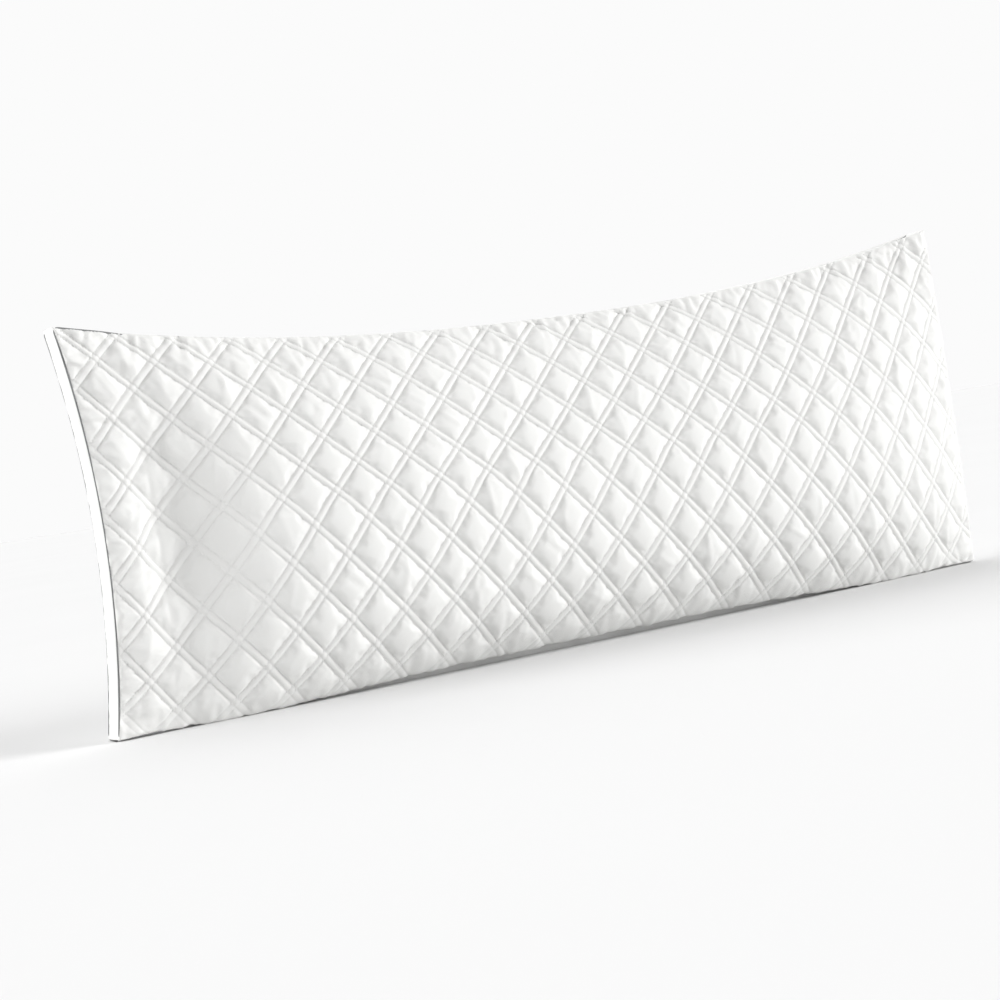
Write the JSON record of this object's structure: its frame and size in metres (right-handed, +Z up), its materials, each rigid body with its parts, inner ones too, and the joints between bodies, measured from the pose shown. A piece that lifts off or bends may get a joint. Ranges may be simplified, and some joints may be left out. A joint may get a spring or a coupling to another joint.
{
  "type": "body pillow",
  "caption": "Long boxed body pillow with diamond-quilted front and back panels, plain side band and piped seams, standing on its long edge; soft support for sleeping.",
  "frame": {"origin": "middle of the base, on the surface that the pillow's long bottom band stands on", "axes": "+X along the length towards the right end, +Y through the thickness from the front panel to the back panel, +Z up"},
  "size_m": [1.3851, 0.2136, 0.5101],
  "materials": {
    "cover_fabric": "matt brushed microfibre with a slight sheen",
    "quilt_wadding": "soft, fluffy",
    "quilt_backing": "matt nonwoven",
    "fibre_fill": "loose, fluffy",
    "gusset_fabric": "matt brushed microfibre with a slight sheen",
    "piping_fabric": "matt woven",
    "piping_cord": "matt spun cord",
    "care_label": "blank satin tape"
  },
  "bodies": {
    "root": {"back_cover_fabric": "cover_fabric", "back_piping_cord": "piping_cord", "back_piping_cover": "piping_fabric", "back_quilt_backing": "quilt_backing", "back_quilt_wadding": "quilt_wadding", "care_label": "care_label", "fibre_fill": "fibre_fill", "front_cover_fabric": "cover_fabric", "front_piping_cord": "piping_cord", "front_piping_cover": "piping_fabric", "front_quilt_backing": "quilt_backing", "front_quilt_wadding": "quilt_wadding", "gusset_base": "gusset_fabric", "gusset_left_end": "gusset_fabric", "gusset_right_end": "gusset_fabric", "gusset_top": "gusset_fabric"}
  },
  "joints": []
}
